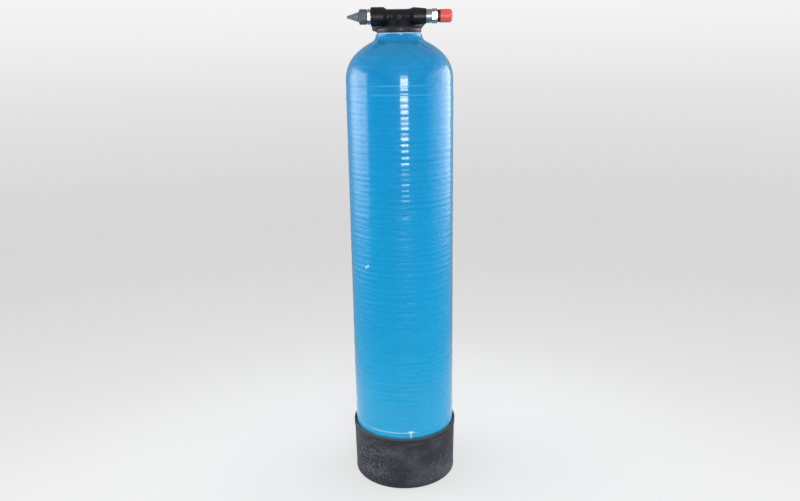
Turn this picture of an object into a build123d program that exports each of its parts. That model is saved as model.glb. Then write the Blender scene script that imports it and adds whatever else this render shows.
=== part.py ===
"""Deionizer resin vessel: a filament-wound tank in a rubber boot, with a screwed in/out head on its neck.

Millimetres, +Z up. The origin is the centre of the boot's foot on the floor. The ports lie along X,
the inlet with its hose tail on -X and the capped outlet on +X.
"""

from build123d import *
from math import atan2, degrees, sqrt
import os

os.makedirs("parts", exist_ok=True)

# Tank: outside of the hoop-wound wall, and the two layers that are wound on it
tank_od = 257.0
tank_height = 1118.0
dome_height = 86.4
knuckle_radius = 60.0
shoulder_drop = 100.0
hoop_layer = 0.35
hoop_setbacks = (20.0, 39.0)
shell_wall = 3.2
liner_wall = 3.0

# Neck: wound collar, and the moulded insert with its thread bore, foot and top lip
neck_od = 109.0
neck_fillet = 15.0
insert_od = 98.0
insert_foot_od = 120.0
insert_foot = 2.0
insert_lip_od = 103.0
insert_lip = 2.2

# Clearances and pitches
turning_gap = 0.3
seat_gap = 0.2
head_thread_od = 72.0
head_thread_length = 25.0

# Boot: rubber cup with a lip, a flat foot and a raised ring under the dome
boot_height = 143.0
boot_wall = 6.4
boot_taper = 1.4
boot_floor = 7.0
boot_seat_top = 18.5
boot_seat_od = 104.0
boot_drain_od = 60.0
boot_lip = 13.0
boot_lip_step = 1.6
boot_round = 3.0
boot_rim_gap = 2.4
boot_rim_depth = 6.0
tank_lift = 10.0

# Head: flange, ribbed barrel and cross tube
seal_thickness = 2.4
seal_od = 103.0
flange_od = 105.0
flange_rim = 6.0
flange_rise = 8.5
flange_crown = 1.8
flange_round = 1.0
barrel_od = 54.0
barrel_core_od = 46.0
barrel_cap = 2.6
barrel_height = 38.5
rib_count = 16
rib_thickness = 3.0
rib_foot_od = 80.0
rib_foot_height = 13.0
rib_straight = 4.0
port_rise = 37.5
tube_od = 33.0
inlet_boss_od = 43.0
inlet_boss_start = 35.8
inlet_boss_cone = 8.8
outlet_boss_od = 40.5
outlet_boss_start = 35.5
outlet_boss_cone = 12.0
outlet_boss_end_od = 35.0
head_half_length = 64.8
boss_edge = 1.2
web_thickness = 9.0
inlet_web_foot = 61.5
outlet_web_foot = 50.5
web_inner = 20.0

# Waterways inside the head
port_bore_od = 26.5
port_depth = 18.0
passage_od = 19.0
partition = 3.0
annulus_od = 40.0
annulus_step = 5.5
annulus_top = 33.5
spigot_wall = 4.5
socket_wall = 3.4
socket_depth = 8.0
groove_height = 3.6
groove_depth = 3.0
groove_rise = -8.0
o_ring_section = 3.0

# Riser pipe and strainers
riser_od = 26.7
riser_wall = 2.0
riser_end_gap = 0.5
basket_od = 50.0
basket_height = 60.0
basket_wall = 2.5
basket_slots = 24
slot_width = 1.3
slot_margin = 8.0
basket_socket = 22.0
basket_socket_wall = 3.5
end_cap_foot_od = 40.0
end_cap_flange = 4.0
end_cap_plug = 5.0
top_strainer_od = 64.0
top_strainer_height = 35.0
top_strainer_wall = 2.5
top_strainer_flange = 2.0
top_strainer_plug = 4.5
top_strainer_slots = 24
floor_slots = 12
resin_top = 830.0

# Threaded fittings
thread_od = 26.44
tape = 0.3
tape_length = 12.0
nipple_insertion = 15.5
nipple_bore = 18.0
hexagon_chamfer = 0.27
inlet_collar = 8.4
inlet_collar_flats = 30.0
inlet_spigot = 12.0
washer = 2.0
tail_collar = 2.8
tail_collar_od = 25.8
nut_flats = 30.0
nut_length = 19.0
nut_edge = 1.4
tail_bore = 4.4
tail_rear_bore = 13.0
tail_step_ods = (21.4, 17.4, 13.4, 10.0, 7.0)
tail_step_lengths = (6.0, 6.0, 5.8, 5.2, 5.4)
tail_step_chamfer = 1.1
outlet_collar = 11.2
outlet_collar_od = 31.4
outlet_hexagon = 15.4
outlet_flats = 29.0
outlet_seal_od = 28.4
outlet_seal_length = 5.9
cap_od = 30.2
cap_length = 28.0
cap_end_wall = 2.0
cap_end_radius = 7.5

# Places that follow from the sizes above
tank_radius = tank_od / 2
dome_radius = tank_radius - hoop_layer * len(hoop_setbacks)
lower_tangent = tank_lift + dome_height
neck_top = tank_lift + tank_height
upper_tangent = neck_top - shoulder_drop
crown_radius = (
    (dome_radius - knuckle_radius) ** 2 + dome_height**2 - knuckle_radius**2
) / (2 * (dome_height - knuckle_radius))
crown_drop = crown_radius - dome_height
knuckle_angle = degrees(atan2(crown_drop, dome_radius - knuckle_radius))
neck_bore = head_thread_od + 2 * turning_gap
port_z = neck_top + port_rise
flange_z = neck_top + seal_thickness
spigot_end = flange_z - head_thread_length
port_axis = Axis((0, 0, port_z), (1, 0, 0))
nipple_seat = head_half_length
riser_radius = riser_od / 2
socket_radius = riser_radius + turning_gap
spigot_inner = head_thread_od / 2 - spigot_wall


def tank_outline(inset):
    """Half section of the closed tank as a face, drawn inside its dome surface by the inset."""
    knuckle = knuckle_radius - inset
    crown = crown_radius - inset
    side = dome_radius - inset
    arc = 90 - knuckle_angle
    with BuildLine() as outline:
        CenterArc((0, lower_tangent + crown_drop), crown, -90, arc)
        CenterArc((dome_radius - knuckle_radius, lower_tangent), knuckle, -knuckle_angle, knuckle_angle)
        Line((side, lower_tangent), (side, upper_tangent))
        CenterArc((dome_radius - knuckle_radius, upper_tangent), knuckle, 0, knuckle_angle)
        CenterArc((0, upper_tangent - crown_drop), crown, knuckle_angle, arc)
        Line((0, upper_tangent - crown_drop + crown), (0, lower_tangent + crown_drop - crown))
    make_face(outline.edges())


def block(inner, outer, low, high, mode=Mode.ADD):
    """Rectangle in a half section, from radius to radius and height to height."""
    with Locations((inner, low)):
        Rectangle(outer - inner, high - low, align=(Align.MIN, Align.MIN), mode=mode)


def dome_floor(radius, inset):
    """Height of the lower dome's surface at a radius."""
    crown = crown_radius - inset
    return lower_tangent + crown_drop - sqrt(crown**2 - radius**2)


def turned(points, mode=Mode.ADD):
    """Body turned about the port axis, from points of place along X and radius."""
    with BuildSketch(Plane.XZ) as half:
        with BuildLine():
            Polyline([(x, port_z + radius) for x, radius in points], close=True)
        make_face()
    revolve(half.sketch, axis=port_axis, mode=mode)


def ring(start, end, outer, inner, mode=Mode.ADD):
    """Plain ring about the port axis between two places along X."""
    turned([(start, inner), (end, inner), (end, outer), (start, outer)], mode)


def hexagon(start, end, flats, edge):
    """Hexagon along the port axis with a corner up, its corners turned down at both ends."""
    low, high = min(start, end), max(start, end)
    corner = flats / sqrt(3)
    with BuildSketch(Plane.YZ.offset(low)) as section:
        with Locations((0, port_z)):
            RegularPolygon(corner, 6, rotation=30)
    extrude(section.sketch, amount=high - low)
    flat = flats / 2 - edge
    turned(
        [
            (low, 0),
            (low, flat),
            (low + edge, corner),
            (high - edge, corner),
            (high, flat),
            (high, 0),
        ],
        Mode.INTERSECT,
    )


# Wound shell
with BuildPart() as wound_shell:
    with BuildSketch(Plane.XZ):
        tank_outline(0)
        neck_root = upper_tangent - crown_drop + sqrt(crown_radius**2 - (neck_od / 2) ** 2)
        block(0, neck_od / 2, upper_tangent, neck_top - insert_lip)
        corner = vertices().sort_by_distance((neck_od / 2, neck_root))[0]
        fillet(corner, radius=neck_fillet)
        for number, setback in enumerate(hoop_setbacks):
            layer_radius = dome_radius + hoop_layer * (number + 1)
            block(0, layer_radius, lower_tangent + setback / 2, upper_tangent - setback)
    revolve(axis=Axis.Z)
    with BuildSketch(Plane.XZ):
        tank_outline(shell_wall)
        block(0, insert_od / 2, upper_tangent, neck_top)
    revolve(axis=Axis.Z, mode=Mode.SUBTRACT)
    with BuildSketch(Plane.XZ):
        tank_outline(shell_wall - insert_foot)
        block(0, insert_foot_od / 2, upper_tangent, neck_top - insert_lip, mode=Mode.INTERSECT)
    revolve(axis=Axis.Z, mode=Mode.SUBTRACT)

wound_shell.part.label = "wound_shell"
export_step(wound_shell.part, "parts/wound_shell.step")

# Inner liner
with BuildPart() as inner_liner:
    with BuildSketch(Plane.XZ):
        tank_outline(shell_wall)
    revolve(axis=Axis.Z)
    with BuildSketch(Plane.XZ):
        tank_outline(shell_wall + liner_wall)
        block(0, neck_bore / 2, upper_tangent, neck_top)
    revolve(axis=Axis.Z, mode=Mode.SUBTRACT)

inner_liner.part.label = "inner_liner"
export_step(inner_liner.part, "parts/inner_liner.step")

# Neck insert
with BuildPart() as neck_insert:
    with BuildSketch(Plane.XZ):
        tank_outline(shell_wall - insert_foot)
        block(0, insert_foot_od / 2, upper_tangent, neck_top, mode=Mode.INTERSECT)
        block(0, insert_od / 2, upper_tangent, neck_top)
        block(0, insert_lip_od / 2, neck_top - insert_lip, neck_top)
    revolve(axis=Axis.Z)
    with BuildSketch(Plane.XZ):
        tank_outline(shell_wall)
        block(0, neck_bore / 2, upper_tangent, neck_top)
    revolve(axis=Axis.Z, mode=Mode.SUBTRACT)

neck_insert.part.label = "neck_insert"
export_step(neck_insert.part, "parts/neck_insert.step")

# Base boot
boot_radius = tank_radius + boot_wall
with BuildPart() as base_boot:
    with BuildSketch(Plane.XZ):
        with BuildLine():
            Polyline(
                [
                    (boot_drain_od / 2, 0),
                    (boot_radius - boot_taper, 0),
                    (boot_radius, boot_height - boot_lip - boot_lip_step),
                    (boot_radius + boot_lip_step, boot_height - boot_lip),
                    (boot_radius + boot_lip_step, boot_height),
                    (tank_radius + boot_rim_gap, boot_height),
                    (tank_radius, boot_height - boot_rim_depth),
                    (tank_radius, boot_floor),
                    (boot_seat_od / 2, boot_floor),
                    (boot_seat_od / 2, boot_seat_top),
                    (boot_drain_od / 2, boot_seat_top),
                ],
                close=True,
            )
        make_face()
        rim = vertices().sort_by_distance((boot_radius + boot_lip_step, boot_height))[0]
        fillet(rim, radius=boot_lip_step)
        heel = vertices().sort_by_distance((boot_radius - boot_taper, 0))[0]
        fillet(heel, radius=boot_round)
    revolve(axis=Axis.Z)
    with BuildSketch(Plane.XZ):
        tank_outline(0)
    revolve(axis=Axis.Z, mode=Mode.SUBTRACT)

base_boot.part.label = "base_boot"
export_step(base_boot.part, "parts/base_boot.step")

# Bottom strainer, standing on the liner's lower dome
strainer_z = dome_floor(end_cap_foot_od / 2, shell_wall + liner_wall) + seat_gap
basket_z = strainer_z + end_cap_flange
plate_z = basket_z + basket_height
with BuildPart() as bottom_strainer:
    with BuildSketch(Plane.XZ):
        block(basket_od / 2 - basket_wall, basket_od / 2, basket_z, plate_z)
        block(riser_radius - riser_wall, basket_od / 2, plate_z - basket_wall, plate_z)
        block(riser_radius, riser_radius + basket_socket_wall, plate_z, plate_z + basket_socket)
    revolve(axis=Axis.Z)
    slot_height = basket_height - 2 * slot_margin
    with BuildSketch(Plane.XY.offset(basket_z + slot_margin)):
        with PolarLocations(basket_od / 2 - basket_wall / 2, basket_slots):
            Rectangle(2 * basket_wall, slot_width)
    extrude(amount=slot_height, mode=Mode.SUBTRACT)

bottom_strainer.part.label = "bottom_strainer"
export_step(bottom_strainer.part, "parts/bottom_strainer.step")

# Strainer end cap
with BuildPart() as strainer_end_cap:
    with BuildSketch(Plane.XZ):
        with BuildLine():
            Polyline(
                [
                    (0, strainer_z),
                    (end_cap_foot_od / 2, strainer_z),
                    (basket_od / 2, basket_z - 1.5),
                    (basket_od / 2, basket_z),
                    (basket_od / 2 - basket_wall, basket_z),
                    (basket_od / 2 - basket_wall, basket_z + end_cap_plug),
                    (0, basket_z + end_cap_plug),
                ],
                close=True,
            )
        make_face()
    revolve(axis=Axis.Z)

strainer_end_cap.part.label = "strainer_end_cap"
export_step(strainer_end_cap.part, "parts/strainer_end_cap.step")

# Riser tube, from the strainer's socket to the head's socket
riser_top = flange_z + socket_depth - riser_end_gap
with BuildPart() as riser_tube:
    with BuildSketch(Plane.XZ):
        block(riser_radius - riser_wall, riser_radius, plate_z, riser_top)
    revolve(axis=Axis.Z)

riser_tube.part.label = "riser_tube"
export_step(riser_tube.part, "parts/riser_tube.step")

# Resin bed, filling the liner round the strainer and the riser
with BuildPart() as resin_bed:
    with BuildSketch(Plane.XZ):
        tank_outline(shell_wall + liner_wall + seat_gap)
        block(0, tank_radius, 0, resin_top, mode=Mode.INTERSECT)
        block(0, basket_od / 2 + 2 * seat_gap, 0, plate_z + seat_gap, mode=Mode.SUBTRACT)
        socket_outer = riser_radius + basket_socket_wall + seat_gap
        block(0, socket_outer, 0, plate_z + basket_socket + seat_gap, mode=Mode.SUBTRACT)
        block(0, riser_radius + seat_gap, 0, resin_top, mode=Mode.SUBTRACT)
    revolve(axis=Axis.Z)

resin_bed.part.label = "resin_bed"
export_step(resin_bed.part, "parts/resin_bed.step")

# Head seal ring, between the insert's lip and the flange
with BuildPart() as head_seal_ring:
    with BuildSketch(Plane.XZ):
        block(head_thread_od / 2 + turning_gap, seal_od / 2, neck_top, flange_z)
    revolve(axis=Axis.Z)
    rims = head_seal_ring.edges().filter_by(GeomType.CIRCLE).group_by(SortBy.RADIUS)[-1]
    fillet(rims, radius=seal_thickness / 4)

head_seal_ring.part.label = "head_seal_ring"
export_step(head_seal_ring.part, "parts/head_seal_ring.step")

# Head body: turned forms, ribs, cross tube and webs, then the waterways
rim_z = flange_z + flange_rim
cone_z = rim_z + flange_rise
cap_z = neck_top + barrel_height
rib_reach = (rib_foot_od - barrel_od) / 2
rib_drop = barrel_height - rib_straight - rib_foot_height
rib_curve = (rib_reach**2 + rib_drop**2) / (2 * rib_reach)
rib_turn = degrees(atan2(rib_drop, rib_curve - rib_reach))
with BuildPart() as head_body:
    with BuildSketch(Plane.XZ):
        block(0, head_thread_od / 2, spigot_end, flange_z)
        with BuildLine():
            Polyline(
                (0, flange_z),
                (flange_od / 2, flange_z),
                (flange_od / 2, rim_z),
            )
            SagittaArc((flange_od / 2, rim_z), (barrel_core_od / 2, cone_z), flange_crown)
            Polyline(
                (barrel_core_od / 2, cone_z),
                (barrel_core_od / 2, cap_z - barrel_cap),
                (barrel_od / 2, cap_z - barrel_cap),
                (barrel_od / 2, cap_z),
                (0, cap_z),
                (0, flange_z),
            )
        make_face()
        for rim_height in (flange_z, rim_z):
            rim = vertices().sort_by_distance((flange_od / 2, rim_height))[0]
            fillet(rim, radius=flange_round)
    revolve(axis=Axis.Z)
    for number in range(rib_count):
        turn = (number + 0.5) * 360 / rib_count
        with BuildSketch(Plane.XZ.rotated((0, 0, turn))):
            with BuildLine():
                Line((barrel_core_od / 2 - 1, rim_z), (barrel_core_od / 2 - 1, cap_z - 1))
                Line((barrel_core_od / 2 - 1, cap_z - 1), (barrel_od / 2, cap_z - 1))
                Line((barrel_od / 2, cap_z - 1), (barrel_od / 2, cap_z - rib_straight))
                flare = JernArc((barrel_od / 2, cap_z - rib_straight), (0, -1), rib_curve, rib_turn)
                Line(flare @ 1, (rib_foot_od / 2, rim_z))
                Line((rib_foot_od / 2, rim_z), (barrel_core_od / 2 - 1, rim_z))
            make_face()
        extrude(amount=rib_thickness / 2, both=True)
    turned(
        [
            (-head_half_length, 0),
            (-head_half_length, inlet_boss_od / 2 - boss_edge),
            (-head_half_length + boss_edge, inlet_boss_od / 2),
            (-inlet_boss_start, inlet_boss_od / 2),
            (-inlet_boss_start + inlet_boss_cone, tube_od / 2),
            (outlet_boss_start - outlet_boss_cone, tube_od / 2),
            (outlet_boss_start, outlet_boss_od / 2),
            (head_half_length - boss_edge, outlet_boss_end_od / 2),
            (head_half_length, outlet_boss_end_od / 2 - boss_edge),
            (head_half_length, 0),
        ]
    )
    with BuildSketch(Plane.XZ):
        with BuildLine():
            Polyline(
                [
                    (web_inner, flange_z + 1),
                    (outlet_web_foot, flange_z + 1),
                    (outlet_web_foot, rim_z - 2),
                    (head_half_length - boss_edge, port_z - outlet_boss_end_od / 2 + 2),
                    (head_half_length - boss_edge, port_z),
                    (web_inner, port_z),
                ],
                close=True,
            )
        make_face()
        with BuildLine():
            Polyline(
                [
                    (-web_inner, flange_z + 1),
                    (-flange_od / 2, flange_z + 1),
                    (-inlet_web_foot, rim_z - 2),
                    (-head_half_length + boss_edge, port_z - inlet_boss_od / 2 + 2),
                    (-head_half_length + boss_edge, port_z),
                    (-web_inner, port_z),
                ],
                close=True,
            )
        make_face()
    extrude(amount=web_thickness / 2, both=True)
    # Annulus for the inlet water, wide in the spigot and narrow round the outlet way
    upper_wall = passage_od / 2 + partition
    socket_outer = socket_radius + socket_wall
    socket_roof = flange_z + socket_depth + partition
    with BuildSketch(Plane.XZ):
        block(socket_outer, spigot_inner, spigot_end, flange_z + annulus_step)
        block(socket_outer, annulus_od / 2, spigot_end, socket_roof)
        block(upper_wall, annulus_od / 2, socket_roof, neck_top + annulus_top)
    revolve(axis=Axis.Z, mode=Mode.SUBTRACT)
    # Riser socket with its ring groove, and the way up to the port axis
    with BuildSketch(Plane.XZ):
        groove_z = neck_top + groove_rise
        block(0, socket_radius, spigot_end, flange_z + socket_depth)
        block(0, socket_radius + groove_depth, groove_z, groove_z + groove_height)
        block(0, passage_od / 2, flange_z, port_z + passage_od / 4)
    revolve(axis=Axis.Z, mode=Mode.SUBTRACT)
    # Port bores and passages
    ring(-head_half_length, -head_half_length + port_depth, port_bore_od / 2, 0, Mode.SUBTRACT)
    ring(head_half_length - port_depth, head_half_length, port_bore_od / 2, 0, Mode.SUBTRACT)
    ring(-head_half_length, -upper_wall, passage_od / 2, 0, Mode.SUBTRACT)
    ring(0, head_half_length, passage_od / 2, 0, Mode.SUBTRACT)

head_body.part.label = "head_body"
export_step(head_body.part, "parts/head_body.step")

# Riser seal, an O-ring in the socket's groove
o_ring_centre = socket_radius + groove_depth - o_ring_section / 2
with BuildPart() as riser_seal:
    with BuildSketch(Plane.XZ):
        with Locations((o_ring_centre, groove_z + groove_height / 2)):
            Circle(o_ring_section / 2)
    revolve(axis=Axis.Z)

riser_seal.part.label = "riser_seal"
export_step(riser_seal.part, "parts/riser_seal.step")

# Top strainer, clipped into the spigot and sliding over the riser
strainer_foot = spigot_end - top_strainer_height
strainer_inner = top_strainer_od / 2 - top_strainer_wall
with BuildPart() as top_strainer:
    with BuildSketch(Plane.XZ):
        block(strainer_inner, top_strainer_od / 2, strainer_foot, spigot_end)
        block(strainer_inner, head_thread_od / 2 - 1, spigot_end - top_strainer_flange, spigot_end)
        block(strainer_inner, spigot_inner, spigot_end, spigot_end + top_strainer_plug)
        block(socket_radius, top_strainer_od / 2, strainer_foot, strainer_foot + top_strainer_wall)
        block(socket_radius, socket_outer - 1, strainer_foot, spigot_end)
    revolve(axis=Axis.Z)
    wall_slot = top_strainer_height - slot_margin
    with BuildSketch(Plane.XY.offset(strainer_foot + slot_margin / 2)):
        with PolarLocations(top_strainer_od / 2 - top_strainer_wall / 2, top_strainer_slots):
            Rectangle(2 * top_strainer_wall, slot_width)
    extrude(amount=wall_slot, mode=Mode.SUBTRACT)
    with BuildSketch(Plane.XY.offset(strainer_foot)):
        with PolarLocations((socket_outer + strainer_inner) / 2, floor_slots):
            SlotOverall((strainer_inner - socket_outer) * 0.7, slot_width)
    extrude(amount=top_strainer_wall, mode=Mode.SUBTRACT)

top_strainer.part.label = "top_strainer"
export_step(top_strainer.part, "parts/top_strainer.step")

# Inlet nipple
inlet_face = -nipple_seat - inlet_collar
inlet_end = inlet_face - inlet_spigot
with BuildPart() as inlet_nipple:
    hexagon(inlet_face, -nipple_seat, inlet_collar_flats, hexagon_chamfer * inlet_collar / 2)
    ring(-nipple_seat, -nipple_seat + nipple_insertion, port_bore_od / 2 - tape, 0)
    ring(inlet_end, inlet_face, thread_od / 2, 0)
    ring(inlet_end, -nipple_seat + nipple_insertion, nipple_bore / 2, 0, Mode.SUBTRACT)

inlet_nipple.part.label = "inlet_nipple"
export_step(inlet_nipple.part, "parts/inlet_nipple.step")

# Thread tape in both ports
for side, name in ((-1, "inlet_thread_tape"), (1, "outlet_thread_tape")):
    tape_start = side * (nipple_seat - nipple_insertion + 1)
    tape_end = tape_start + side * tape_length
    with BuildPart() as thread_tape:
        ring(tape_start, tape_end, port_bore_od / 2, port_bore_od / 2 - tape)
    thread_tape.part.label = name
    export_step(thread_tape.part, f"parts/{name}.step")

# Inlet washer
with BuildPart() as inlet_washer:
    ring(inlet_end - washer, inlet_end, tail_collar_od / 2, nipple_bore / 2)

inlet_washer.part.label = "inlet_washer"
export_step(inlet_washer.part, "parts/inlet_washer.step")

# Inlet hose tail, a collar and steps that get smaller towards the tip
collar_face = inlet_end - washer
shoulder = collar_face - tail_collar
nut_end = inlet_face - nut_length
outline = [
    (collar_face, 0),
    (collar_face, tail_collar_od / 2),
    (shoulder, tail_collar_od / 2),
    (shoulder, tail_step_ods[0] / 2),
]
place = nut_end
for step_od, step_length in zip(tail_step_ods, tail_step_lengths):
    outline.append((place, step_od / 2))
    outline.append((place - step_length + tail_step_chamfer, step_od / 2))
    outline.append((place - step_length, step_od / 2 - tail_step_chamfer))
    place = place - step_length
outline.append((place, 0))
with BuildPart() as inlet_hose_tail:
    turned(outline)
    rear_end = nut_end - tail_step_lengths[0]
    ring(place, collar_face, tail_bore / 2, 0, Mode.SUBTRACT)
    ring(rear_end, collar_face, tail_rear_bore / 2, 0, Mode.SUBTRACT)

inlet_hose_tail.part.label = "inlet_hose_tail"
export_step(inlet_hose_tail.part, "parts/inlet_hose_tail.step")

# Inlet union nut
with BuildPart() as inlet_union_nut:
    hexagon(nut_end, inlet_face, nut_flats, nut_edge)
    ring(shoulder, inlet_face, thread_od / 2 + turning_gap, 0, Mode.SUBTRACT)
    ring(nut_end, inlet_face, tail_step_ods[0] / 2 + turning_gap, 0, Mode.SUBTRACT)

inlet_union_nut.part.label = "inlet_union_nut"
export_step(inlet_union_nut.part, "parts/inlet_union_nut.step")

# Outlet nipple
hexagon_start = nipple_seat + outlet_collar
outlet_face = hexagon_start + outlet_hexagon
cap_start = outlet_face + outlet_seal_length
cap_end = cap_start + cap_length
cap_wall = cap_od / 2 - thread_od / 2 - turning_gap
outlet_end = cap_end - cap_end_wall - cap_end_radius
with BuildPart() as outlet_nipple:
    hexagon(hexagon_start, outlet_face, outlet_flats, hexagon_chamfer * outlet_hexagon / 2)
    ring(nipple_seat, hexagon_start, outlet_collar_od / 2, 0)
    ring(nipple_seat - nipple_insertion, nipple_seat, port_bore_od / 2 - tape, 0)
    ring(outlet_face, outlet_end, thread_od / 2, 0)
    ring(nipple_seat - nipple_insertion, outlet_end, nipple_bore / 2, 0, Mode.SUBTRACT)

outlet_nipple.part.label = "outlet_nipple"
export_step(outlet_nipple.part, "parts/outlet_nipple.step")

# Outlet seal
with BuildPart() as outlet_seal:
    ring(outlet_face, cap_start, outlet_seal_od / 2, thread_od / 2)
    rims = outlet_seal.edges().filter_by(GeomType.CIRCLE).group_by(SortBy.RADIUS)[-1]
    fillet(rims, radius=0.6)

outlet_seal.part.label = "outlet_seal"
export_step(outlet_seal.part, "parts/outlet_seal.step")

# Dust cap, a push-on cup with a rounded end
with BuildPart() as dust_cap:
    cap_floor = cap_end - cap_end_wall
    with BuildSketch(Plane.XZ) as cup:
        with BuildLine():
            Polyline(
                [
                    (cap_start, port_z + cap_od / 2 - cap_wall),
                    (cap_start, port_z + cap_od / 2),
                    (cap_end, port_z + cap_od / 2),
                    (cap_end, port_z),
                    (cap_floor, port_z),
                    (cap_floor, port_z + cap_od / 2 - cap_wall),
                ],
                close=True,
            )
        make_face()
        outer_corner = vertices().sort_by_distance((cap_end, port_z + cap_od / 2))[0]
        fillet(outer_corner, radius=cap_end_radius)
        inner_corner = vertices().sort_by_distance((cap_floor, port_z + cap_od / 2 - cap_wall))[0]
        fillet(inner_corner, radius=cap_end_radius - cap_wall)
    revolve(axis=port_axis)

dust_cap.part.label = "dust_cap"
export_step(dust_cap.part, "parts/dust_cap.step")
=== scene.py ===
"""Looks of the deionizer resin vessel: skins, materials, studio and camera, in metres around the frame."""

from math import acos, atan2, cos, exp, pi, radians, sin, sqrt

import bpy
from mathutils import Matrix, Vector, noise


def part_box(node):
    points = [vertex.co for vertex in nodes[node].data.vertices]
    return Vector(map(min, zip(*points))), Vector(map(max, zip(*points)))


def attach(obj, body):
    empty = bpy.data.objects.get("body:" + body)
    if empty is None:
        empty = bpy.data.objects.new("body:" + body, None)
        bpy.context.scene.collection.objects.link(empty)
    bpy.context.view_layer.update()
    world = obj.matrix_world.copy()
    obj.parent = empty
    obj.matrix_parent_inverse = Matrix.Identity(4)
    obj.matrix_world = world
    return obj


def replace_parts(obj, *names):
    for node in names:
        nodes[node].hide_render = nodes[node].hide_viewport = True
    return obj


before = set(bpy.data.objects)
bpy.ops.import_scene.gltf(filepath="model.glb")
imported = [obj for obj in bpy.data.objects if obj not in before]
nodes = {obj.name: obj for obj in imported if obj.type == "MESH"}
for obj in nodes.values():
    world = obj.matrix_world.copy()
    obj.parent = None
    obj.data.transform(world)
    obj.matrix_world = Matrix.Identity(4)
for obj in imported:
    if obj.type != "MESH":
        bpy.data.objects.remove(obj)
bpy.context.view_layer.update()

# Tank, as in the model
tank_radius = 0.1285
tank_height = 1.118
tank_lift = 0.010
dome_height = 0.0864
knuckle_radius = 0.060
hoop_layer = 0.00035
shell_wall = 0.0032
neck_radius = 0.0545
insert_radius = 0.049
insert_lip = 0.0022

# Shoulder as the photo shows it, rounder than the model's, with the ends of its two hoop layers
shoulder_height = 0.101
shoulder_knuckle = 0.084
hoop_setbacks = (0.011, 0.031)
hoop_end_slope = 0.0006
hoop_start_slope = (0.008, 0.010)
neck_fillet = 0.017
neck_straight = 0.0015
neck_edge = 0.001

# Windings in the shell's surface, and the bead where the last hoop ends near the foot
ridge_pitch = 0.0128
ridge_height = 0.0008
ridge_lean = 0.0012
ridge_wander = 0.006
broad_swell = 0.00025
foot_bead_height = 0.157
foot_bead_rise = 0.0007
foot_bead_width = 0.0022

dome_radius = tank_radius - hoop_layer * len(hoop_setbacks)
lower_tangent = tank_lift + dome_height
neck_top = tank_lift + tank_height
shell_top = neck_top - insert_lip


def crown_of(height, knuckle):
    """Radius of a dome's crown, from the dome's height and its knuckle's radius."""
    flat = dome_radius - knuckle
    return (flat**2 + height**2 - knuckle**2) / (2 * (height - knuckle))


crown_radius = crown_of(dome_height, knuckle_radius)
crown_drop = crown_radius - dome_height
knuckle_angle = atan2(crown_drop, dome_radius - knuckle_radius)
upper_radius = crown_of(shoulder_height, shoulder_knuckle)
upper_drop = upper_radius - shoulder_height
upper_angle = atan2(upper_drop, dome_radius - shoulder_knuckle)
fillet_x = neck_radius + neck_fillet
fillet_rise = sqrt((upper_radius + neck_fillet) ** 2 - fillet_x**2) - upper_drop
upper_tangent = shell_top - neck_straight - fillet_rise

# Boot as the photo shows it, a little thinner and lower than the model's
boot_height = 0.141
boot_wall = 0.0052
boot_taper = 0.002
boot_lip = 0.014
boot_lip_step = 0.0014
boot_round = 0.003
boot_rim_gap = 0.0026
boot_rim_depth = 0.006
boot_floor = 0.007
boot_drain_radius = 0.030
boot_seat_radius = 0.052
boot_seat_top = 0.0185
boot_lump = 0.0006
boot_radius = tank_radius + boot_wall

# Crease in the boot's left front: the angle and height of its ends, its groove and the fold above it
crease_start = (radians(-156), 0.060)
crease_end = (radians(-115), 0.069)
crease_run_out = 0.3
crease_depth = 0.0018
crease_width = 0.0022
fold_rise = 0.0008
fold_gap = 0.009
fold_width = 0.006

# Head's flange and barrel, the skirt that fills the barrel between its ribs, and the recess in its front
flange_low = neck_top + 0.0024
skirt_rim = 0.0528
skirt_rim_height = 0.0062
skirt_edge = 0.0008
skirt_round = 0.0045
skirt_round_end = radians(72)
skirt_foot = (0.0392, 0.0126)
skirt_top = (0.0258, 0.0331)
skirt_flare_power = 2.2
skirt_inner = 0.022
recess_angle = radians(-95)
recess_half_angle = radians(6)
recess_depth = 0.004

# Rows and segments of the skins
wall_rows = 400
dome_rows = 8
shoulder_rows = 14
crown_rows = 16
fillet_rows = 10
inside_rows = 4
boot_wall_rows = 90
flare_rows = 14
wall_segments = 208
boot_segments = 256
hair = 1e-6

# Marks on the paint, and the places of its painted glint and painted highlights
# Painted glint on the foot bead, and the glint's painted streak below it
glint_place = (0.0155, -0.1276, foot_bead_height + 0.002)
glint_streak_place = (0.0155, -0.1276, foot_bead_height - 0.008)
chip_place = (-0.0855, -0.0962, 0.587)
chip_step = (0.003, -0.0026, 0.003)
hoop_highlight_front = (0.005, -0.128)
foot_highlight_front = (-0.035, -0.125)
slant_turn = 9.0

# Marks on the boot and its crease's painted shade, heights of the flange's painted reflection, and the hose
# tail
crease_middle = (-0.0925, -0.0925, 0.0645)
left_scuff = (-0.105, -0.085, 0.060)
right_scuff = (0.105, -0.090, 0.030)
flange_reflection_heights = (flange_low + 0.015, flange_low + 0.010)
tail_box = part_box("inlet_hose_tail")
tail_step_lengths = (0.0054, 0.0052, 0.0058, 0.006, 0.006)
tail_shade_length = 0.0026
tail_tip = (-0.1225, -0.1255)

# Camera and its picture
picture_width = 800
focal_pixels = 720.0
camera_place = (-0.0053, -1.763, 1.075)
camera_pitch = radians(15.07)
camera_roll = radians(0.91)


def srgb(red, green, blue):
    """Linear colour of an 8-bit screen colour."""
    channels = []
    for value in (red, green, blue):
        share = value / 255
        channels.append(share / 12.92 if share <= 0.04045 else ((share + 0.055) / 1.055) ** 2.4)
    return (*channels, 1.0)
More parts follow.
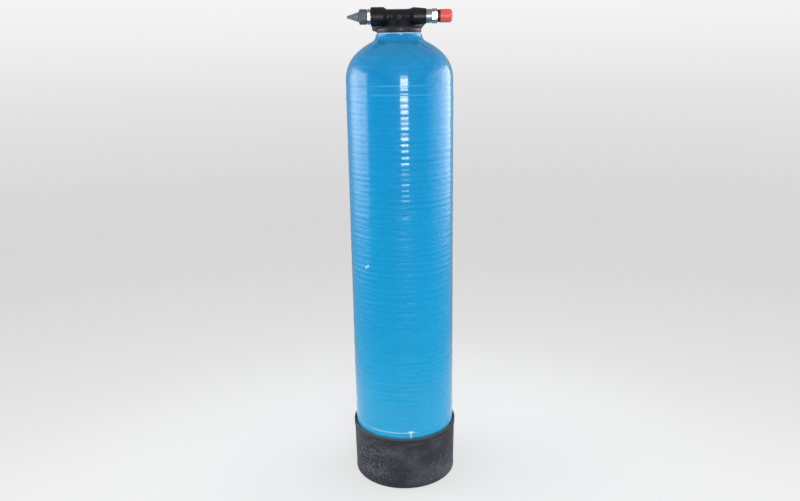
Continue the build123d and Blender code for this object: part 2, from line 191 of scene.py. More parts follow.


# Colours of the shell's paint and its marks, with a painted reflection at the foot and painted highlights
paint_foot_with_painted_reflection = srgb(20, 166, 216)
paint_top = srgb(0, 143, 204)
paint_dome = srgb(10, 136, 190)
paint_streak = srgb(44, 174, 224)
paint_mottle = srgb(0, 116, 178)
paint_slant = srgb(0, 104, 160)
hoop_end_highlight = srgb(130, 196, 228)
foot_bead_highlight = srgb(190, 226, 240)
glint_white = srgb(224, 242, 250)
chip_grey = srgb(196, 208, 204)

# Colours of the boot
rubber_dark = srgb(18, 21, 28)
rubber_light = srgb(40, 44, 54)
rim_highlight_brown = srgb(98, 88, 84)
lip_line_grey = srgb(104, 98, 100)
patch_grey = srgb(96, 97, 110)
crease_painted_shade = srgb(14, 16, 22)
scuff_grey = srgb(142, 143, 158)
dust_grey = srgb(120, 118, 124)

# Colours of the head and its fittings
head_dark = srgb(13, 17, 23)
head_light = srgb(25, 30, 37)
flange_reflection_grey = srgb(46, 53, 65)
tail_dark = srgb(96, 108, 119)
tail_light = srgb(118, 131, 142)
tail_shade = srgb(38, 44, 50)
tip_black = srgb(34, 38, 42)
nickel_dark = srgb(190, 184, 181)
nickel_light = srgb(216, 208, 203)
resin_amber = srgb(176, 122, 58)
resin_brown = srgb(84, 48, 20)


class Graph:
    """A node tree, with short calls for the nodes used here."""

    def __init__(self, tree):
        self.tree = tree

    def add(self, kind):
        """New node of a kind."""
        return self.tree.nodes.new(kind)

    def feed(self, socket, value):
        """Link an output to a socket, or set the socket's own value."""
        if isinstance(value, bpy.types.NodeSocket):
            self.tree.links.new(value, socket)
        else:
            socket.default_value = value

    def math(self, operation, first, second=0.0):
        """Result of one step of arithmetic."""
        node = self.add("ShaderNodeMath")
        node.operation = operation
        self.feed(node.inputs[0], first)
        self.feed(node.inputs[1], second)
        return node.outputs["Value"]

    def vector_math(self, operation, first, second=(0.0, 0.0, 0.0)):
        """Node of one step of vector arithmetic."""
        node = self.add("ShaderNodeVectorMath")
        node.operation = operation
        self.feed(node.inputs[0], first)
        self.feed(node.inputs[1], second)
        return node

    def coordinate(self, vector, name):
        """One coordinate of a vector."""
        node = self.add("ShaderNodeSeparateXYZ")
        self.feed(node.inputs["Vector"], vector)
        return node.outputs[name]

    def remap(self, value, low, high, to_low=0.0, to_high=1.0, smooth=False):
        """A value carried from one range to another, and held at its ends."""
        node = self.add("ShaderNodeMapRange")
        if smooth:
            node.interpolation_type = "SMOOTHSTEP"
        self.feed(node.inputs["Value"], value)
        for name, end in (("From Min", low), ("From Max", high), ("To Min", to_low), ("To Max", to_high)):
            node.inputs[name].default_value = end
        return node.outputs["Result"]

    def mix(self, share, first, second, kind="RGBA"):
        """Mix of two colours, or of two numbers where the kind is FLOAT."""
        node = self.add("ShaderNodeMix")
        node.data_type = kind
        self.feed(node.inputs["Factor"], share)
        self.feed(node.inputs["A"], first)
        self.feed(node.inputs["B"], second)
        return node.outputs["Result"]

    def blend(self, share, first, second):
        """Mix of two shaders."""
        node = self.add("ShaderNodeMixShader")
        self.feed(node.inputs["Fac"], share)
        self.feed(node.inputs[1], first)
        self.feed(node.inputs[2], second)
        return node.outputs["Shader"]


class Shader(Graph):
    """A surface material, its colours placed by the piece's own coordinates."""

    def __init__(self, name):
        self.material = bpy.data.materials.new(name)
        self.material.use_nodes = True
        super().__init__(self.material.node_tree)
        self.bsdf = self.tree.nodes["Principled BSDF"]
        self.place = self.add("ShaderNodeTexCoord").outputs["Object"]

    def scaled(self, stretch):
        """The piece's coordinates, each times its own factor."""
        node = self.add("ShaderNodeMapping")
        self.feed(node.inputs["Vector"], self.place)
        node.inputs["Scale"].default_value = stretch
        return node.outputs["Vector"]

    def noise_at(self, vector, scale, detail, roughness):
        """Noise read at a vector."""
        node = self.add("ShaderNodeTexNoise")
        self.feed(node.inputs["Vector"], vector)
        node.inputs["Scale"].default_value = scale
        node.inputs["Detail"].default_value = detail
        node.inputs["Roughness"].default_value = roughness
        return node.outputs["Fac"]

    def noise(self, scale, detail=3.0, roughness=0.55, stretch=(1, 1, 1)):
        """Noise over the piece, finer along an axis where the stretch is larger."""
        return self.noise_at(self.scaled(stretch), scale, detail, roughness)

    def helix(self, turn, scale):
        """Streaks that wind round the upright axis, by so many radians a metre."""
        flat = self.add("ShaderNodeCombineXYZ")
        for name in "XY":
            self.feed(flat.inputs[name], self.coordinate(self.place, name))
        facing = self.vector_math("NORMALIZE", flat.outputs["Vector"])
        wound = self.add("ShaderNodeVectorRotate")
        wound.rotation_type = "Z_AXIS"
        self.feed(wound.inputs["Vector"], facing.outputs["Vector"])
        self.feed(wound.inputs["Angle"], self.math("MULTIPLY", self.coordinate(self.place, "Z"), turn))
        return self.noise_at(wound.outputs["Vector"], scale, 2.0, 0.5)

    def near(self, centre, inner, outer, stretch=(1, 1, 1)):
        """One inside a distance from a point, fading to nought at the outer distance."""
        middle = [along * factor for along, factor in zip(centre, stretch)]
        distance = self.vector_math("DISTANCE", self.scaled(stretch), middle)
        return self.remap(distance.outputs["Value"], inner, outer, 1.0, 0.0)

    def level_line(self, height, level, wide, narrow):
        """One within a narrow distance of a level, fading to nought at the wide one."""
        distance = self.math("ABSOLUTE", self.math("SUBTRACT", height, level))
        return self.remap(distance, wide, narrow)

    def tint(self, colour, over, share, strength):
        """A colour with another laid over it, by a share times a strength."""
        return self.mix(self.math("MULTIPLY", share, strength), colour, over)

    def bump(self, height, distance, strength=1.0, before=None):
        """Surface direction changed by a height, on top of an earlier change."""
        node = self.add("ShaderNodeBump")
        node.inputs["Strength"].default_value = strength
        node.inputs["Distance"].default_value = distance
        self.feed(node.inputs["Height"], height)
        if before is not None:
            self.feed(node.inputs["Normal"], before)
        return node.outputs["Normal"]

    def finish(self, colour, roughness, normal=None, metallic=0.0, specular=0.5, coat=0.0, coat_rough=0.05):
        """The material, with its surface's sockets fed."""
        self.feed(self.bsdf.inputs["Base Color"], colour)
        self.feed(self.bsdf.inputs["Roughness"], roughness)
        self.bsdf.inputs["Metallic"].default_value = metallic
        self.bsdf.inputs["Specular IOR Level"].default_value = specular
        self.bsdf.inputs["Coat Weight"].default_value = coat
        self.bsdf.inputs["Coat Roughness"].default_value = coat_rough
        if normal is not None:
            self.feed(self.bsdf.inputs["Normal"], normal)
        return self.material


# Materials


def plain_finish(name, dark, light, scale, rough, bump):
    """Moulded or machined surface: two close colours in soft noise, uneven gloss and fine bump."""
    shader = Shader(name)
    grain = shader.noise(scale * 9, detail=4.0)
    colour = shader.mix(shader.noise(scale), srgb(*dark), srgb(*light))
    return shader.finish(colour, shader.remap(grain, 0.3, 0.7, *rough), shader.bump(grain, bump))


def shell_material():
    """Blue gel coat over windings: paler towards the foot as a painted reflection of the pale floor, fine
    hoop streaks, painted highlights at the hoop ends and the foot, glossy and uneven.
    """
    shader = Shader("shell_blue")
    height = shader.coordinate(shader.place, "Z")
    # Paler towards the foot: painted reflection of the pale floor
    colour = shader.mix(shader.remap(height, 0.15, upper_tangent), paint_foot_with_painted_reflection, paint_top)
    dome = shader.remap(height, upper_tangent - 0.01, upper_tangent + 0.06)
    colour = shader.mix(dome, colour, paint_dome)
    streaks = shader.remap(shader.noise(34.0, detail=5.0, stretch=(0.35, 0.35, 9.0)), 0.35, 0.75)
    colour = shader.tint(colour, paint_streak, streaks, 0.2)
    mottle = shader.noise(7.0, detail=4.0, stretch=(1, 1, 0.6))
    colour = shader.tint(colour, paint_mottle, shader.remap(mottle, 0.35, 0.7), 0.14)
    # Slanting windings show under the hoops, most on the domes where there are no hoops
    slants = shader.math("MAXIMUM", shader.helix(slant_turn, 11.0), shader.helix(-slant_turn, 11.0))
    bare = shader.remap(height, upper_tangent - 0.05, upper_tangent + 0.01, 0.10, 0.42)
    colour = shader.tint(colour, paint_slant, shader.remap(slants, 0.5, 0.72), bare)
    # Painted highlight along the ends of the hoop layers, in front, broken by the streaks
    for setback in hoop_setbacks:
        level = upper_tangent - setback
        line = shader.math("MULTIPLY", shader.level_line(height, level, 0.0022, 0.0006), streaks)
        front = shader.near((*hoop_highlight_front, level), 0.045, 0.095)
        colour = shader.tint(colour, hoop_end_highlight, shader.math("MULTIPLY", line, front), 0.5)
    # Painted highlight along the bead of the last hoop at the foot, with a painted glint and the glint's
    # streak below it
    line = shader.level_line(height, foot_bead_height, 0.0024, 0.0008)
    front = shader.near((*foot_highlight_front, foot_bead_height), 0.045, 0.075)
    colour = shader.tint(colour, foot_bead_highlight, shader.math("MULTIPLY", line, front), 0.5)
    glint = shader.near(glint_place, 0.003, 0.009, (1.0, 1.0, 3.0))
    glint_streak = shader.near(glint_streak_place, 0.0015, 0.0045, (1.0, 1.0, 0.4))
    glint = shader.math("MAXIMUM", glint, shader.math("MULTIPLY", glint_streak, 0.5))
    colour = shader.mix(glint, colour, glint_white)
    # Slanting chip on the left, made of three spots in a row
    for count in (-1, 0, 1):
        spot = [start + count * step for start, step in zip(chip_place, chip_step)]
        colour = shader.mix(shader.near(spot, 0.001, 0.0038), colour, chip_grey)
    ridge = shader.noise(30.0, detail=4.0, roughness=0.65, stretch=(0.10, 0.10, 3.4))
    normal = shader.bump(ridge, 0.006, 0.6)
    crumple = shader.noise(45.0, detail=2.0, roughness=0.5, stretch=(1.0, 1.0, 2.2))
    normal = shader.bump(crumple, 0.0055, 0.45, normal)
    normal = shader.bump(slants, 0.0006, 0.5, normal)
    orange_peel = shader.noise(210.0, detail=2.0)
    normal = shader.bump(orange_peel, 0.0003, 0.3, normal)
    roughness = shader.remap(mottle, 0.3, 0.7, 0.28, 0.4)
    return shader.finish(colour, roughness, normal, specular=0.15, coat=0.8, coat_rough=0.06)


def boot_material():
    """Dusty black rubber: brownish painted highlight along the rim's edge, a paler line below the lip,
    painted shade in the crease, and scuffs at both sides.
    """
    shader = Shader("boot_rubber")
    height = shader.coordinate(shader.place, "Z")
    cloud = shader.noise(16.0, detail=4.0)
    colour = shader.mix(cloud, rubber_dark, rubber_light)
    # Brownish painted highlight along the rim's top edge
    rim = shader.remap(height, boot_height - 0.0035, boot_height - 0.001)
    colour = shader.tint(colour, rim_highlight_brown, rim, 0.5)
    # Paler line at the lip's step, broken by noise
    line = shader.level_line(height, boot_height - boot_lip, 0.003, 0.0008)
    paler_line = shader.math("MULTIPLY", line, shader.remap(shader.noise(22.0), 0.42, 0.58))
    colour = shader.tint(colour, lip_line_grey, paler_line, 0.4)
    patch = shader.remap(shader.noise(11.0, detail=5.0, roughness=0.6, stretch=(1, 1, 1.8)), 0.48, 0.66)
    colour = shader.tint(colour, patch_grey, patch, 0.38)
    # The crease's line of painted shade climbs evenly along the chord between its ends
    middle = (crease_start[0] + crease_end[0]) / 2
    half_chord = boot_radius * sin((crease_end[0] - crease_start[0]) / 2)
    along = shader.vector_math("DOT_PRODUCT", shader.place, (-sin(middle), cos(middle), 0.0))
    climb = shader.remap(along.outputs["Value"], -half_chord, half_chord, crease_start[1], crease_end[1])
    crease = shader.level_line(height, climb, 0.0028, 0.0008)
    colour = shader.tint(colour, crease_painted_shade, crease, shader.near(crease_middle, 0.035, 0.055))
    speck = shader.noise(260.0, detail=5.0, roughness=0.7)
    specks = shader.remap(speck, 0.52, 0.64)
    left = shader.near(left_scuff, 0.03, 0.11)
    right = shader.near(right_scuff, 0.015, 0.080)
    scuffed = shader.math("MULTIPLY", specks, shader.math("MAXIMUM", left, right))
    colour = shader.tint(colour, scuff_grey, scuffed, 0.7)
    colour = shader.tint(colour, dust_grey, specks, 0.14)
    normal = shader.bump(speck, 0.0006, 0.6)
    normal = shader.bump(cloud, 0.004, 0.4, normal)
    return shader.finish(colour, shader.remap(cloud, 0.3, 0.7, 0.5, 0.68), normal, specular=0.45)


def head_material():
    """Black moulded plastic with an uneven dull gloss, greyer on the flange as a painted reflection of the
    side lights.
    """
    shader = Shader("head_black")
    grain = shader.noise(360.0, detail=4.0)
    colour = shader.mix(shader.noise(40.0), head_dark, head_light)
    # Painted reflection of the side lights on the flange
    flange_reflection = shader.remap(shader.coordinate(shader.place, "Z"), *flange_reflection_heights)
    colour = shader.tint(colour, flange_reflection_grey, flange_reflection, 0.75)
    roughness = shader.remap(grain, 0.3, 0.7, 0.34, 0.48)
    return shader.finish(colour, roughness, shader.bump(grain, 0.00012), specular=0.4)


def tail_material():
    """Grey moulded hose tail with a dark tip, each step darker at its root, in the shade of the next."""
    shader = Shader("tail_grey")
    grain = shader.noise(630.0, detail=4.0)
    colour = shader.mix(shader.noise(70.0), tail_dark, tail_light)
    along = shader.coordinate(shader.place, "X")
    root = tail_box[0][0]
    for length in tail_step_lengths:
        root += length
        shade = shader.remap(along, root - tail_shade_length, root - 0.0002)
        step = shader.remap(along, root - 0.0001, root + 0.0001, 1.0, 0.0)
        colour = shader.tint(colour, tail_shade, shader.math("MULTIPLY", shade, step), 0.55)
    colour = shader.tint(colour, tip_black, shader.remap(along, *tail_tip), 0.8)
    return shader.finish(colour, shader.remap(grain, 0.3, 0.7, 0.38, 0.5), shader.bump(grain, 0.0001))


def metal_material():
    """Bright nickel plate with turning marks and slight tarnish."""
    shader = Shader("nickel_plate")
    cloud = shader.noise(120.0)
    colour = shader.mix(cloud, nickel_dark, nickel_light)
    marks = shader.noise(900.0, detail=2.0, stretch=(2.5, 0.1, 0.1))
    roughness = shader.remap(cloud, 0.3, 0.7, 0.3, 0.42)
    return shader.finish(colour, roughness, shader.bump(marks, 0.0001, 0.3), metallic=1.0)


def resin_material():
    """Bead bed: amber grains with darker ones between."""
    shader = Shader("resin_beads")
    cells = shader.add("ShaderNodeTexVoronoi")
    shader.feed(cells.inputs["Vector"], shader.place)
    cells.inputs["Scale"].default_value = 900.0
    colour = shader.mix(cells.outputs["Distance"], resin_amber, resin_brown)
    return shader.finish(colour, 0.45, shader.bump(cells.outputs["Distance"], 0.0006))


# Each plain finish: its name, two colours, size of its clouds, roughness range and depth of its grain
plain_finishes = {
    "head_seal_ring": ("seal_red", (88, 16, 26), (120, 28, 36), 60.0, (0.5, 0.6), 0.0001),
    "neck_insert": ("insert_pale", (150, 190, 214), (190, 212, 226), 60.0, (0.4, 0.55), 0.0001),
    "inner_liner": ("liner_natural", (214, 210, 196), (228, 226, 214), 20.0, (0.45, 0.6), 0.0002),
    "riser_tube": ("riser_grey", (196, 196, 194), (214, 214, 210), 30.0, (0.35, 0.5), 0.0001),
    "bottom_strainer": ("strainer_grey", (150, 150, 144), (170, 170, 164), 50.0, (0.4, 0.55), 0.0001),
    "strainer_end_cap": ("end_cap_grey", (144, 144, 140), (166, 166, 160), 50.0, (0.4, 0.55), 0.0001),
    "top_strainer": ("top_strainer_grey", (62, 66, 70), (78, 82, 86), 50.0, (0.4, 0.55), 0.0001),
    "riser_seal": ("o_ring_black", (18, 18, 20), (26, 26, 28), 80.0, (0.35, 0.5), 0.00005),
    "inlet_washer": ("washer_black", (22, 22, 24), (32, 32, 34), 80.0, (0.5, 0.6), 0.00005),
    "outlet_seal": ("outlet_seal_black", (20, 22, 26), (36, 38, 42), 80.0, (0.4, 0.5), 0.00005),
    "inlet_union_nut": ("nut_grey", (70, 76, 86), (92, 98, 108), 55.0, (0.42, 0.55), 0.00012),
    "dust_cap": ("cap_red", (228, 80, 68), (240, 98, 86), 45.0, (0.34, 0.44), 0.00006),
    "inlet_thread_tape": ("tape_white", (226, 226, 226), (240, 240, 240), 90.0, (0.5, 0.6), 0.0001),
}
shell_paint = shell_material()
boot_rubber = boot_material()
nickel = metal_material()
head_plastic = head_material()
finishes = {node: plain_finish(*look) for node, look in plain_finishes.items()}
finishes["outlet_thread_tape"] = finishes["inlet_thread_tape"]
finishes["head_body"] = head_plastic
finishes["inlet_hose_tail"] = tail_material()
finishes["resin_bed"] = resin_material()
finishes["inlet_nipple"] = nickel
finishes["outlet_nipple"] = nickel
for name, material in finishes.items():
    mesh = nodes[name].data
    mesh.materials.clear()
    mesh.materials.append(material)


# Skins


def signed(angle):
    """The same angle, between minus and plus half a turn."""
    return (angle + pi) % (2 * pi) - pi


def bell(distance, width):
    """Smooth hump of height one."""
    return exp(-((distance / width) ** 2))


def arc(centre, radius, start, end, count):
    """Points of a half section on an arc, its first point left out."""
    points = []
    for step in range(1, count + 1):
        angle = start + (end - start) * step / count
        points.append((centre[0] + radius * cos(angle), centre[1] + radius * sin(angle)))
    return points


def run(start, end, count):
    """Points of a half section on a straight line, its first point left out."""
    points = []
    for step in range(1, count + 1):
        share = step / count
        points.append((start[0] + (end[0] - start[0]) * share, start[1] + (end[1] - start[1]) * share))
    return points


def lathe(name, section, segments, offset, material):
    """Closed body turned about Z from a closed half section, with a radial offset at each point."""
    vertices = []
    rings = []
    for row, (radius, height) in enumerate(section):
        if radius < hair:
            rings.append([len(vertices)])
            vertices.append((0.0, 0.0, height))
            continue
        ring = []
        for segment in range(segments):
            angle = 2 * pi * segment / segments
            moved = radius + offset(row, angle, height)
            ring.append(len(vertices))
            vertices.append((moved * cos(angle), moved * sin(angle), height))
        rings.append(ring)
    faces = []
    for first, second in zip(rings, rings[1:] + rings[:1]):
        if len(first) == 1 and len(second) == 1:
            continue
        for segment in range(segments):
            following = (segment + 1) % segments
            if len(first) == 1:
                faces.append((first[0], second[following], second[segment]))
            elif len(second) == 1:
                faces.append((first[segment], first[following], second[0]))
            else:
                faces.append((first[segment], first[following], second[following], second[segment]))
    mesh = bpy.data.meshes.new(name)
    mesh.from_pydata(vertices, [], faces)
    mesh.validate()
    mesh.update()
    for polygon in mesh.polygons:
        polygon.use_smooth = True
    mesh.materials.append(material)
    piece = bpy.data.objects.new(name, mesh)
    bpy.context.scene.collection.objects.link(piece)
    return piece


def winding(angle, height):
    """Offset of the windings on the straight wall: hoops that lean a little and swell unevenly."""
    if height < lower_tangent or height > upper_tangent - hoop_setbacks[0]:
        return 0.0
    lean = ridge_lean * sin(angle + height * 3.1)
    lean += ridge_wander * noise.noise(Vector((0.3, 0.7, height * 24.0)))
    turn = (height + lean) / ridge_pitch
    share = abs(sin(pi * turn)) ** 0.7
    swell = 0.6 + 0.8 * noise.noise(Vector((int(turn) * 1.7, cos(angle) * 1.3, sin(angle) * 1.3)))
    broad = broad_swell * noise.noise(Vector((cos(angle) * 1.1, sin(angle) * 1.1, height * 9.0)))
    bead = foot_bead_rise * bell(height - foot_bead_height, foot_bead_width)
    return ridge_height * share * swell + broad + bead - ridge_height


def shell_section():
    """Closed half section of the shell: outside from the foot up, then the neck, then the inside."""
    knuckle = (dome_radius - knuckle_radius, lower_tangent)
    crown = (0.0, lower_tangent + crown_drop)
    upper_knuckle = (dome_radius - shoulder_knuckle, upper_tangent)
    upper_crown = (0.0, upper_tangent - upper_drop)
    points = [(0.0, tank_lift)]
    points += arc(crown, crown_radius, -pi / 2, -knuckle_angle, dome_rows)
    points += arc(knuckle, knuckle_radius, -knuckle_angle, 0.0, dome_rows)
    # The hoops start at the wall's foot, and the wall steps in where each layer ends
    lower_end = upper_tangent - hoop_setbacks[1]
    upper_end = upper_tangent - hoop_setbacks[0]
    one_layer = tank_radius - hoop_layer
    points.append((dome_radius, lower_tangent + hoop_start_slope[0]))
    points.append((tank_radius, lower_tangent + hoop_start_slope[1]))
    points += run(points[-1], (tank_radius, lower_end - hoop_end_slope), wall_rows)
    points.append((one_layer, lower_end))
    points += run(points[-1], (one_layer, upper_end - hoop_end_slope), 8)
    points.append((dome_radius, upper_end))
    points += run(points[-1], (dome_radius, upper_tangent), 5)
    points += arc(upper_knuckle, shoulder_knuckle, 0.0, upper_angle, shoulder_rows)
    # The fillet between dome and neck touches the crown's circle and the neck's line
    fillet_z = upper_tangent + fillet_rise
    touch = atan2(fillet_z - upper_crown[1], fillet_x)
    points += arc(upper_crown, upper_radius, upper_angle, touch, crown_rows)
    points += arc((fillet_x, fillet_z), neck_fillet, touch - pi, -pi, fillet_rows)
    points += run((neck_radius, fillet_z), (neck_radius, shell_top - neck_edge), 2)
    points.append((neck_radius - neck_edge, shell_top))
    points.append((insert_radius, shell_top))
    # Inside, down to the centre of the foot
    inside_crown = upper_radius - shell_wall
    edge = acos(insert_radius / inside_crown)
    points.append((insert_radius, upper_crown[1] + inside_crown * sin(edge)))
    points += arc(upper_crown, inside_crown, edge, upper_angle, 3)
    points += arc(upper_knuckle, shoulder_knuckle - shell_wall, upper_angle, 0.0, inside_rows)
    points.append((dome_radius - shell_wall, lower_tangent))
    points += arc(knuckle, knuckle_radius - shell_wall, 0.0, -knuckle_angle, inside_rows)
    points += arc(crown, crown_radius - shell_wall, -knuckle_angle, -pi / 2, inside_rows)
    points[-1] = (0.0, points[-1][1])
    return points


def shell_skin():
    """Wound shell with its windings in the surface."""
    section = shell_section()

    def offset(row, angle, height):
        if section[row][0] < tank_radius - hoop_layer - hair:
            return 0.0
        return winding(angle, height)

    return lathe("wound_shell_skin", section, wall_segments, offset, shell_paint)


def boot_offset(angle, height):
    """Offset of the boot's wall: lumps, with a crease on its left front."""
    lumps = noise.noise(Vector((cos(angle) * 1.6, sin(angle) * 1.6, height * 9.0)))
    moved = boot_lump * lumps - boot_lump
    along = (signed(angle) - crease_start[0]) / (crease_end[0] - crease_start[0])
    inside = min(along, 1 - along) + crease_run_out
    if inside > 0:
        line = crease_start[1] + (crease_end[1] - crease_start[1]) * along
        fade = min(1.0, inside / crease_run_out)
        moved -= crease_depth * fade * bell(height - line, crease_width)
        moved += fold_rise * fade * bell(height - line - fold_gap, fold_width)
    return moved


def boot_skin():
    """Rubber boot with its lip, uneven wall and crease."""
    lip_start = boot_height - boot_lip
    lip_top = boot_height - boot_lip_step
    outer = boot_radius + boot_lip_step
    heel = (boot_radius - boot_taper - boot_round, boot_round)
    section = [(boot_drain_radius, 0.0)]
    section += run(section[-1], (heel[0], 0.0), 4)
    section += arc(heel, boot_round, -pi / 2, 0.0, 5)
    low_wall = len(section)
    section += run(section[-1], (boot_radius, lip_start - boot_lip_step), boot_wall_rows)
    section += run(section[-1], (outer, lip_start), 3)
    section += run(section[-1], (outer, lip_top), 8)
    section += arc((boot_radius, lip_top), boot_lip_step, 0.0, pi / 2, 4)
    section.append((tank_radius + boot_rim_gap, boot_height))
    high_wall = len(section) - 1
    section.append((tank_radius, boot_height - boot_rim_depth))
    section.append((tank_radius, boot_floor))
    section.append((boot_seat_radius, boot_floor))
    # The seat stands up to its top, or to the dome where that is lower
    for step in range(5):
        radius = boot_seat_radius + (boot_drain_radius - boot_seat_radius) * step / 4
        under_dome = lower_tangent + crown_drop - sqrt(crown_radius**2 - radius**2)
        section.append((radius, min(boot_seat_top, under_dome)))

    def offset(row, angle, height):
        if row <= low_wall or row >= high_wall:
            return 0.0
        return boot_offset(angle, height)

    return lathe("base_boot_skin", section, boot_segments, offset, boot_rubber)


def head_skirt():
    """Skirt between the barrel's ribs, with a recess in its front, and the flange's rounded crown."""
    low = flange_low + skirt_edge
    rim_top = flange_low + skirt_rim_height
    foot_top = flange_low + skirt_foot[1]
    section = [(skirt_inner, low), (skirt_rim - skirt_edge, low), (skirt_rim, low + skirt_edge)]
    section += run(section[-1], (skirt_rim, rim_top), 2)
    section += arc((skirt_rim - skirt_round, rim_top), skirt_round, 0.0, skirt_round_end, 5)
    section += run(section[-1], (skirt_foot[0], foot_top), 4)
    flare_start = len(section)
    for step in range(1, flare_rows + 1):
        share = step / flare_rows
        radius = skirt_top[0] + (skirt_foot[0] - skirt_top[0]) * (1 - share) ** skirt_flare_power
        section.append((radius, foot_top + (skirt_top[1] - skirt_foot[1]) * share))
    flare_end = len(section)
    section.append((skirt_inner, section[-1][1]))

    def offset(row, angle, height):
        in_recess = abs(signed(angle) - recess_angle) <= recess_half_angle
        return -recess_depth if in_recess and flare_start < row < flare_end - 1 else 0.0

    return lathe("head_skirt", section, boot_segments, offset, head_plastic)


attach(head_skirt(), "head")
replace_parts(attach(shell_skin(), "vessel"), "wound_shell")
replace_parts(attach(boot_skin(), "vessel"), "base_boot")


# Studio

floor_size = 6.0
floor_colour = srgb(222, 221, 220)
floor_tone = srgb(240, 240, 240)
floor_tone_share = 0.6
floor_fade = (0.25, 1.1)

# Backdrop: its range of heights, its greys from low to high, and the soft light's colour
backdrop_rise = (-0.56, 0.09)
backdrop_stops = ((0.0, 247), (0.22, 232), (0.5, 208), (0.78, 226), (1.0, 250))
soft_colour = (0.93, 0.96, 1.0, 1.0)

# Each strength: a range of height or depth, and the strengths at its two ends
soft_strength = (-0.6, 0.6, 0.35, 0.75)
gloss_behind = (-0.2, 0.7, 0.06, 0.4)
gloss_above = (0.2, 0.8, 0.0, 0.35)

# Each fade of a lamp: an axis across its face, and where along it the light starts and is full
foot_fade = ("Y", 0.35, 0.8)
top_fade = ("Y", 1.0, 0.88)
window_fades = (("Y", -0.1, 0.8), ("X", 0.0, 0.2), ("X", 1.0, 0.8))
left_fades = (foot_fade, top_fade, ("X", 1.0, 0.82), ("X", 0.0, 0.5))
right_fades = (foot_fade, top_fade, ("X", 0.0, 0.8), ("X", 1.0, 0.93))


def studio_floor():
    """Pale floor that fades into the background away from the vessel."""
    bpy.ops.mesh.primitive_plane_add(size=floor_size)
    floor = bpy.context.object
    floor.name = "studio_floor"
    shader = Shader("floor_pale")
    shader.finish(floor_colour, 0.9, specular=0.0)
    # The eye sees the floor's light and shade softened towards the backdrop's own tone
    tone = shader.add("ShaderNodeEmission")
    tone.inputs["Color"].default_value = floor_tone
    seen = shader.add("ShaderNodeLightPath").outputs["Is Camera Ray"]
    softened = shader.math("MULTIPLY", seen, floor_tone_share)
    shown = shader.blend(softened, shader.bsdf.outputs["BSDF"], tone.outputs["Emission"])
    reach = shader.vector_math("LENGTH", shader.place).outputs["Value"]
    faded = shader.remap(reach, *floor_fade, smooth=True)
    clear = shader.add("ShaderNodeBsdfTransparent").outputs["BSDF"]
    surface = shader.blend(faded, shown, clear)
    shader.feed(shader.tree.nodes["Material Output"].inputs["Surface"], surface)
    floor.data.materials.append(shader.material)


def backdrop():
    """World: a pale graded backdrop for the eye and for gloss, and plain soft light for the rest."""
    world = bpy.data.worlds.new("studio")
    bpy.context.scene.world = world
    world.use_nodes = True
    graph = Graph(world.node_tree)
    facing = graph.add("ShaderNodeTexCoord").outputs["Generated"]
    upward = graph.coordinate(facing, "Z")
    greys = graph.add("ShaderNodeValToRGB")
    greys.color_ramp.interpolation = "B_SPLINE"
    while len(greys.color_ramp.elements) < len(backdrop_stops):
        greys.color_ramp.elements.new(0.5)
    for element, (share, grey) in zip(greys.color_ramp.elements, backdrop_stops):
        element.position = share
        element.color = srgb(grey, grey, grey)
    graph.feed(greys.inputs["Fac"], graph.remap(upward, *backdrop_rise))
    seen = graph.tree.nodes["Background"]
    graph.feed(seen.inputs["Color"], greys.outputs["Color"])
    # Gloss sees the backdrop dimmed: little in front, where a studio is dark, more behind and above
    path = graph.add("ShaderNodeLightPath")
    glossy = path.outputs["Is Glossy Ray"]
    behind = graph.remap(graph.coordinate(facing, "Y"), *gloss_behind)
    dimmed = graph.math("MAXIMUM", behind, graph.remap(upward, *gloss_above))
    graph.feed(seen.inputs["Strength"], graph.mix(glossy, 1.0, dimmed, kind="FLOAT"))
    soft = graph.add("ShaderNodeBackground")
    soft.inputs["Color"].default_value = soft_colour
    graph.feed(soft.inputs["Strength"], graph.remap(upward, *soft_strength))
    direct = graph.math("MAXIMUM", path.outputs["Is Camera Ray"], glossy)
    direct = graph.math("MAXIMUM", direct, path.outputs["Is Transmission Ray"])
    surface = graph.blend(direct, soft.outputs["Background"], seen.outputs["Background"])
    graph.feed(graph.tree.nodes["World Output"].inputs["Surface"], surface)


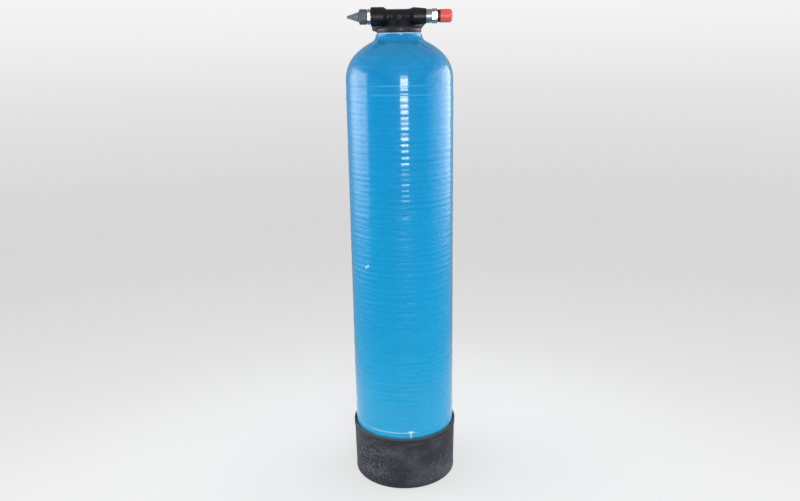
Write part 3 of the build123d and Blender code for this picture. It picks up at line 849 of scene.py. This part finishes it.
def lamp(name, place, target, size, power, fades=()):
    """Soft rectangular lamp, turned to its target and dimmed by each fade."""
    data = bpy.data.lights.new(name, "AREA")
    data.shape = "RECTANGLE"
    data.size = size[0]
    data.size_y = size[1]
    data.energy = power
    lamp_object = bpy.data.objects.new(name, data)
    bpy.context.scene.collection.objects.link(lamp_object)
    lamp_object.location = place
    direction = Vector(target) - Vector(place)
    lamp_object.rotation_euler = direction.to_track_quat("-Z", "Y").to_euler()
    lamp_object.visible_camera = False
    if not fades:
        return
    data.use_nodes = True
    graph = Graph(data.node_tree)
    spot = graph.add("ShaderNodeNewGeometry").outputs["Parametric"]
    strength = 1.0
    for axis, start, full in fades:
        share = graph.remap(graph.coordinate(spot, axis), start, full, smooth=True)
        strength = graph.math("MULTIPLY", strength, share)
    graph.feed(graph.tree.nodes["Emission"].inputs["Strength"], strength)


studio_floor()
backdrop()
lamp(
    "window",
    place=(0.31, -1.92, 0.90), target=(0.31, 0.0, 0.90), size=(0.66, 0.62), power=26.0, fades=window_fades,
)
lamp(
    "window_top",
    place=(0.30, -1.92, 1.38), target=(0.0, 0.0, 1.10), size=(0.52, 0.30), power=3.5,
)
lamp(
    "panel_left",
    place=(-1.31, 0.23, 0.45), target=(0.0, 0.0, 0.45), size=(1.79, 2.3), power=56.0, fades=left_fades,
)
lamp(
    "panel_right",
    place=(1.25, 0.10, 0.45), target=(0.0, 0.10, 0.45), size=(2.4, 2.3), power=72.0, fades=right_fades,
)


# Camera


def make_camera():
    """Camera at the photo's place, pitch and roll."""
    data = bpy.data.cameras.new("photo_camera")
    data.sensor_width = 36.0
    data.lens = focal_pixels / picture_width * data.sensor_width
    camera = bpy.data.objects.new("photo_camera", data)
    bpy.context.scene.collection.objects.link(camera)
    aim = Matrix.Rotation(pi / 2 - camera_pitch, 4, "X") @ Matrix.Rotation(-camera_roll, 4, "Z")
    camera.matrix_world = Matrix.Translation(camera_place) @ aim
    bpy.context.scene.camera = camera


make_camera()
bpy.context.scene.view_settings.view_transform = "Standard"
